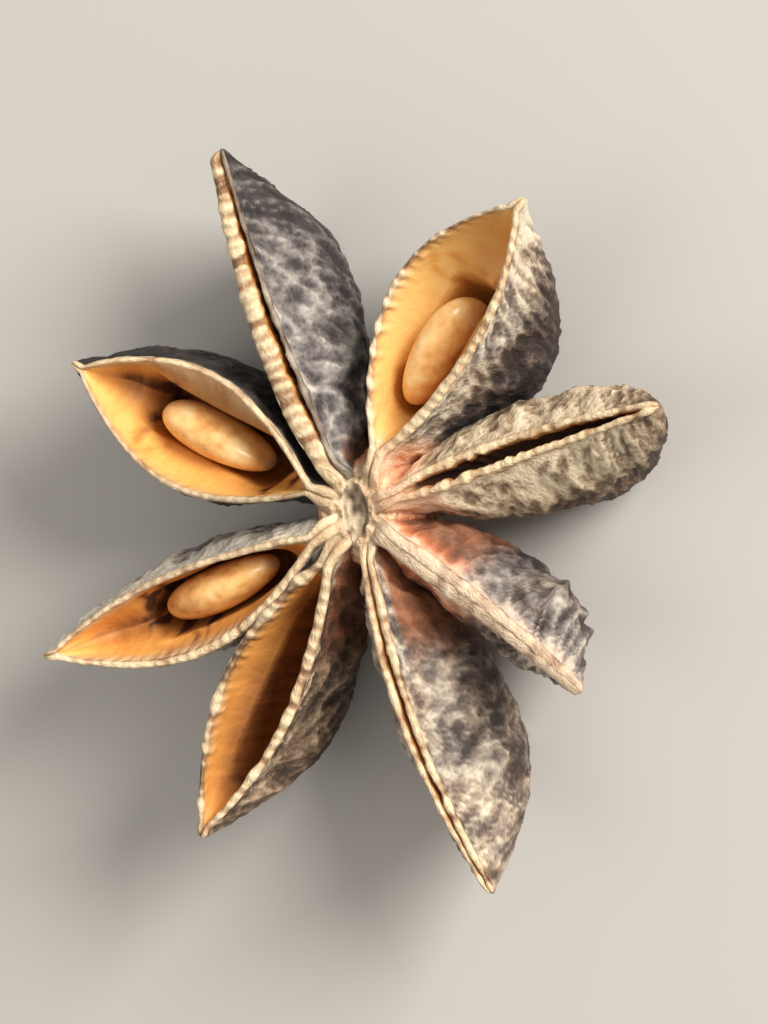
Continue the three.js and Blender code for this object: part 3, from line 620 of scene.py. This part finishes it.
class Wire:
    """A socket that can be added to, taken away and multiplied, each of which adds its Math node."""

    def __init__(self, tree, socket):
        self.tree, self.socket = tree, socket

    def math(self, operation, *others):
        return self.tree.node("ShaderNodeMath", {"operation": operation}, dict(enumerate((self, *others))))

    def __add__(self, other):
        return self.math("ADD", other)

    def __sub__(self, other):
        return self.math("SUBTRACT", other)

    def __mul__(self, other):
        return self.math("MULTIPLY", other)

    def __rsub__(self, other):
        return self * -1 + other

    __radd__ = __add__
    __rmul__ = __mul__


class Finish:
    """A material. node() makes any node from its type, its settings and its sockets' values or wires."""

    def __init__(self, name, constants):
        self.material = bpy.data.materials.new(name)
        self.material.use_nodes = True
        self.nodes = self.material.node_tree.nodes
        self.shader = self.nodes["Principled BSDF"]
        for socket, value in constants.items():
            self.shader.inputs[socket].default_value = value

    def join(self, value, socket):
        if isinstance(value, Wire):
            self.material.node_tree.links.new(value.socket, socket)
        else:
            socket.default_value = value

    def node(self, kind, settings=None, sockets=None, out=0):
        made = self.nodes.new(kind)
        stops = (settings or {}).pop("stops", None)
        for name, value in (settings or {}).items():
            setattr(made, name, value)
        if stops:
            while len(made.color_ramp.elements) < len(stops):
                made.color_ramp.elements.new(0.5)
            for element, (place, colour) in zip(made.color_ramp.elements, stops):
                element.position, element.color = place, (*colour, 1)
        for name, value in (sockets or {}).items():
            self.join(value, made.inputs[name])
        return Wire(self, made.outputs[out])

    def mark(self, name):
        return self.node("ShaderNodeAttribute", {"attribute_name": name}, out="Fac")

    def spots(self, scale, detail=3, roughness=0.6):
        """A noise in the piece's own coordinates, in metres, from 0 to 1."""
        place = self.node("ShaderNodeTexCoord", out="Object")
        return self.grain(place, scale, detail, roughness)

    def on_skin(self, along, around):
        """A place on a follicle's surface, from how far along and around it lies."""
        return self.node("ShaderNodeCombineXYZ", {}, {"X": along, "Y": around})

    def grain(self, place, scale, detail, roughness):
        limits = {"Vector": place, "Scale": scale, "Detail": detail, "Roughness": roughness}
        return self.node("ShaderNodeTexNoise", {}, limits)

    def net(self, place, scale):
        """A net of narrow ridges at 1 between cells that fall to 0."""
        cells = self.grain(place, scale, 1, 0.5)
        return 1 - (cells - 0.5).math("ABSOLUTE") * 6

    def step(self, value, start, end):
        limits = {"Value": value, "From Min": start, "From Max": end}
        return self.node("ShaderNodeMapRange", {"interpolation_type": "SMOOTHSTEP"}, limits)

    def shades(self, value, stops):
        return self.node("ShaderNodeValToRGB", {"stops": stops}, {"Fac": value})

    def mix(self, share, first, second):
        first, second = ((c if isinstance(c, Wire) else (*c, 1)) for c in (first, second))
        return self.node("ShaderNodeMix", {"data_type": "RGBA"}, {0: share, 6: first, 7: second}, out=2)

    def shine(self, colour, roughness, bump, height):
        self.join(colour, self.shader.inputs["Base Color"])
        self.join(roughness, self.shader.inputs["Roughness"])
        settings = {"Strength": bump, "Distance": FINE_RELIEF, "Height": height}
        self.join(self.node("ShaderNodeBump", {}, settings), self.shader.inputs["Normal"])


# Specks of 0.4 mm, patches of 2.4 mm, grain of 1.1 mm and blotches of 1.3 mm.
finish = Finish("dried husk", {"IOR": 1.5})
fine, patches, grain = finish.spots(2600, 4), finish.spots(420), finish.spots(900, 5, 0.7)
blotches = finish.spots(800)
crest, warm, deep, pale = (finish.mark(name) for name in ("crest", "warm", "deep", "pale"))
along, around, lining_share = (finish.mark(name) for name in ("along", "around", "lining"))

# The weathered skin: pale on the wrinkles' crests, dark in the dents as painted shade, and grey or tan in
# patches.
skin_place = finish.on_skin(along, around * 0.8)
net = (finish.net(skin_place, 1.9) + finish.net(skin_place, 3.4) * 0.8).math("MAXIMUM", 0) * 0.55
# Its pale mark brings the painted light near the seams and the painted shade towards the keels.
bloom_and_shade = crest * 0.95 + net * 0.28 + fine * 0.65 + patches * 0.3 + blotches * 0.45 + pale * 0.5 - 1.13
bloom_and_shade = bloom_and_shade * 0.7 + 0.27
tanned = finish.step(warm + (patches - 0.5) * 0.9, 0.1, 0.9)
skin = finish.mix(tanned, finish.shades(bloom_and_shade, GREY_SKIN), finish.shades(bloom_and_shade, TAN_SKIN))

# The bare lips, with their crimps, and the red skin near the column.
lip = finish.mark("lip") * finish.step(fine * 0.5 + crest * 0.35, 0.02, 0.32)
crimp = (along * CRIMPS + (patches - 0.5) * 9).math("SINE") * finish.mark("notched")
cream = finish.shades(crest + (fine - 0.5) * 0.6 + crimp * 0.35, CREAM_LIP)
skin = finish.mix(lip, skin, cream)
blush = finish.step(finish.mark("blush") * 1.2 + (grain - 0.5) * 0.5 + (crest - 0.5) * 0.3, 0.25, 1.0)
pink = finish.mark("pink") + (crest - 0.5) * 0.25 + (grain - 0.5) * 0.6
skin = finish.mix(blush * 0.85, skin, finish.shades(pink, RED_SKIN))

# The lining, streaked lengthwise, darkened by painted shade towards the bottom and shinier than the skin, and
# the stalk's straw.
streaks = finish.grain(finish.on_skin(along * 1.6, around * 0.35), 1.0, 4, 0.6)
shade_and_streaks = deep * 0.85 + (patches - 0.5) * 0.35 + (streaks - 0.5) * 0.5
skin = finish.mix(lining_share, skin, finish.shades(shade_and_streaks, AMBER_LINING_TO_SHADE))
skin = finish.mix(finish.mark("straw"), skin, finish.shades(crest + (fine - 0.5), STRAW_STALK))
rough = 0.78 - lining_share * (deep * -0.3 + 0.42)
relief = fine * 0.6 + grain * 0.35 + net * (1 - lining_share) * 0.4 + crimp * lip * 0.9
finish.shine(skin, rough, bump=0.5, height=relief)
husk_mesh.materials.clear()
husk_mesh.materials.append(finish.material)
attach(husk, "root")
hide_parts("pod")

# ---- The seeds -----------------------------------------------------------------------------------
# A flattened oval seed lies on its edge in three of the open follicles. Its hard coat is amber brown
# and glossy, as if varnished, with a paler scar at the inner end, where it was joined to the wall.

SEED_LENGTH = 5.6
SEED_HEIGHT = 3.8
SEED_THICKNESS = 2.0
SEED_TOP = 0.7  # below the seam
SEED_FULLNESS = 0.85  # the power of its outline's sine
SEED_BLUNTNESS = 0.12  # how much thicker its outer end is
SEED_AROUND, SEED_ALONG = 64, 44
SCAR_ENDS = (-0.99, -0.93)  # places between its inner end (-1) and its outer one (1)
AMBER_COAT = ((0.3, (0.56, 0.22, 0.05)), (0.5, (0.88, 0.49, 0.17)), (0.68, (0.97, 0.70, 0.34)))
SCAR_COLOUR = (0.55, 0.40, 0.24)

coat = Finish("seed coat", {"IOR": 1.5, "Coat Weight": 0.25, "Coat Roughness": 0.12})
cloud, speck, scar = coat.spots(330), coat.spots(1500), coat.mark("scar")
amber = coat.mix(scar, coat.shades(cloud + (speck - 0.5) * 0.5, AMBER_COAT), SCAR_COLOUR)
coat.shine(amber, 0.34 + scar * 0.3, bump=0.12, height=speck)


def seed_mesh(name, f):
    bm = bmesh.new()
    bmesh.ops.create_uvsphere(bm, u_segments=SEED_AROUND, v_segments=SEED_ALONG, radius=1)
    mark = bm.verts.layers.float.new("scar")
    middle, pitch = -SEED_TOP - SEED_HEIGHT / 2, math.radians(f["pitch"])
    for v in bm.verts:
        end, turn = v.co.z, math.atan2(v.co.y, v.co.x)
        girth = math.sqrt(max(0.0, 1 - end**2)) ** SEED_FULLNESS * (1 + SEED_BLUNTNESS * end)
        lengthwise = end * SEED_LENGTH / 2
        across = girth * math.sin(turn) * SEED_THICKNESS / 2
        up = -girth * math.cos(turn) * SEED_HEIGHT / 2
        v[mark] = 1 - ramp(end, *SCAR_ENDS)
        ahead = lengthwise * math.cos(pitch) - up * math.sin(pitch)
        s = f["cavity"]["at"] + ahead / (f["length"] - f["root"])
        up = middle + up * math.cos(pitch) + lengthwise * math.sin(pitch)
        v.co = placed(f, s, f["cavity"]["aside"] + across, up) * MM
    bmesh.ops.recalc_face_normals(bm, faces=bm.faces)
    mesh = bpy.data.meshes.new(name)
    bm.to_mesh(mesh)
    bm.free()
    mesh.shade_smooth()
    mesh.materials.append(coat.material)
    return mesh


for number, f in enumerate([f for f in FOLLICLES if "pitch" in f], 1):
    seed = bpy.data.objects.new(f"amber_seed_{number}", seed_mesh(f"seed_{number}", f))
    bpy.context.scene.collection.objects.link(seed)
    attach(seed, "root")
    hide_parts(f"seed_{number}")

# ---- The table, the lights and the camera --------------------------------------------------------
# The pod lies on a plain pale table under soft light. The camera looks down on it from its right side,
# about 25 degrees off the upright, with the top of the picture towards +Y. Places are in metres.

TABLE_HALF_SIDE = 1.5
TABLE_COLOURS = ((0.56, 0.54, 0.51), (0.59, 0.57, 0.54))
VIEW_TILT = 25
VIEW_NORTH = 0.1  # how far the camera also stands towards +Y, as a share of its distance
VIEW_DISTANCE = 0.6
LENS = 478  # focal length in mm
MIDDLE = Vector((0.0, -0.0003, 0.0045))  # of the picture
ROOM_COLOUR, ROOM_STRENGTH = (1.0, 0.95, 0.89, 1), 0.42

bm = bmesh.new()
bmesh.ops.create_grid(bm, x_segments=1, y_segments=1, size=TABLE_HALF_SIDE)
table_mesh = bpy.data.meshes.new("table")
bm.to_mesh(table_mesh)
bm.free()
table = bpy.data.objects.new("table", table_mesh)
bpy.context.scene.collection.objects.link(table)
paper = Finish("pale table", {"Roughness": 0.9})
clouding = paper.mix(paper.spots(30, 2), *TABLE_COLOURS)
paper.join(clouding, paper.shader.inputs["Base Color"])
table_mesh.materials.append(paper.material)

tilt = math.radians(VIEW_TILT)
towards = Vector((math.sin(tilt), VIEW_NORTH, math.cos(tilt))).normalized()
right = Vector((0, 1, 0)).cross(towards).normalized()
up = towards.cross(right)

camera_data = bpy.data.cameras.new("camera")
camera_data.lens = LENS
camera_data.clip_start, camera_data.clip_end = 0.01, 10
camera = bpy.data.objects.new("camera", camera_data)
turned = Matrix((right, up, towards)).transposed().to_4x4()
camera.matrix_world = Matrix.Translation(MIDDLE + towards * VIEW_DISTANCE) @ turned
bpy.context.scene.collection.objects.link(camera)
bpy.context.scene.camera = camera


def softbox(name, direction, distance, size, watts, colour):
    light = bpy.data.lights.new(name, "AREA")
    light.shape, light.size, light.energy, light.color = "DISK", size, watts, colour
    lamp = bpy.data.objects.new(name, light)
    lamp.location = MIDDLE + direction.normalized() * distance
    lamp.rotation_mode = "QUATERNION"
    lamp.rotation_quaternion = direction.to_track_quat("Z", "Y")
    bpy.context.scene.collection.objects.link(lamp)


softbox("key", right * 0.62 + up * 0.45 + towards, distance=0.5, size=0.26, watts=4.0,
        colour=(1.0, 0.96, 0.90))
softbox("fill", right * -1.0 + up * -0.2 + towards * 0.8, distance=0.6, size=0.4, watts=0.4,
        colour=(1.0, 0.97, 0.92))
world = bpy.data.worlds.new("studio")
bpy.context.scene.world = world
world.use_nodes = True
background = world.node_tree.nodes["Background"]
background.inputs["Color"].default_value = ROOM_COLOUR
background.inputs["Strength"].default_value = ROOM_STRENGTH

bpy.context.scene.view_settings.view_transform = "Standard"
